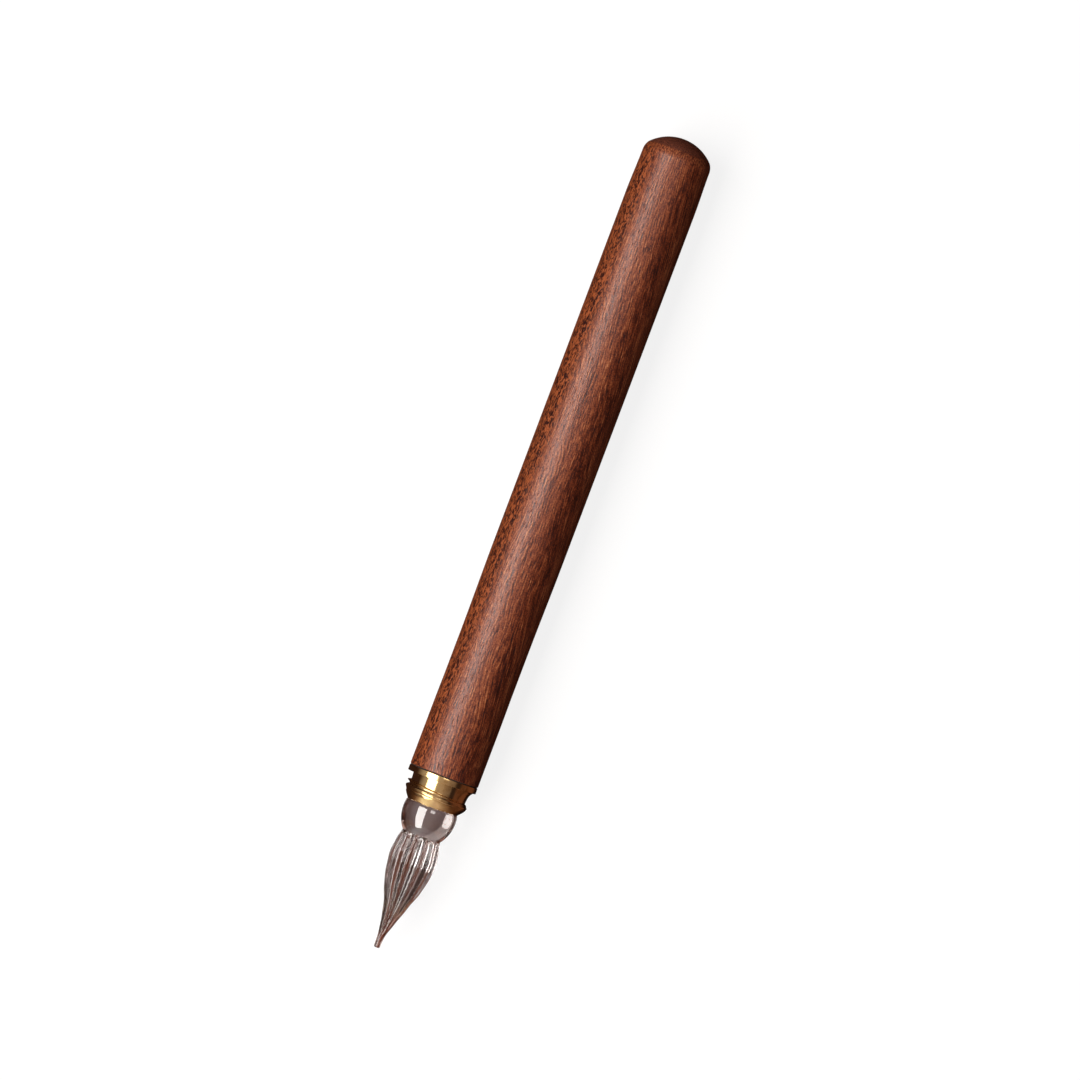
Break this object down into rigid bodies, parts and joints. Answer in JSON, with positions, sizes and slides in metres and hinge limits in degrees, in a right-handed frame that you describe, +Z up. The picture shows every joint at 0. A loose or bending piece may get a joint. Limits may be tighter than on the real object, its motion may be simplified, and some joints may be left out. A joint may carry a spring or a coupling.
{
  "type": "glass dip pen",
  "caption": "Slim dip pen with a turned wooden barrel, a screw-in brass section with a cap thread, and a fluted glass nib below a round glass bulb.",
  "frame": {"origin": "on the surface the pen lies on, under the middle of its length", "axes": "+X along the pen towards the nib, +Z up from the flat of the barrel that it lies on, +Y across"},
  "size_m": [0.1542, 0.013, 0.013],
  "materials": {
    "oiled_wood": "straight-grained red-brown hardwood, oiled to a satin sheen",
    "brass": "polished, turned",
    "washer_fibre": "matt black",
    "adhesive": "clear set adhesive",
    "clear_glass": "clear, fire-polished"
  },
  "bodies": {
    "barrel": {"barrel": "oiled_wood", "barrel_bush": "brass"},
    "washer": {"seam_washer": "washer_fibre"},
    "nib_unit": {"section": "brass", "nib_adhesive": "adhesive", "glass_nib": "clear_glass"}
  },
  "joints": [
    {"name": "section_travel", "type": "slide", "parent": "barrel", "child": "washer", "axis": [1, 0, 0], "range_m": [0, 0.006]},
    {"name": "section_turn", "type": "hinge", "parent": "washer", "child": "nib_unit", "pos_m": [0.0441, 0, 0.0065], "axis": [1, 0, 0], "range_deg": [0, 2160]}
  ],
  "couplings": [
    {"joint": "section_travel", "follows": "section_turn", "m_per_rad": 0.00015915}
  ]
}
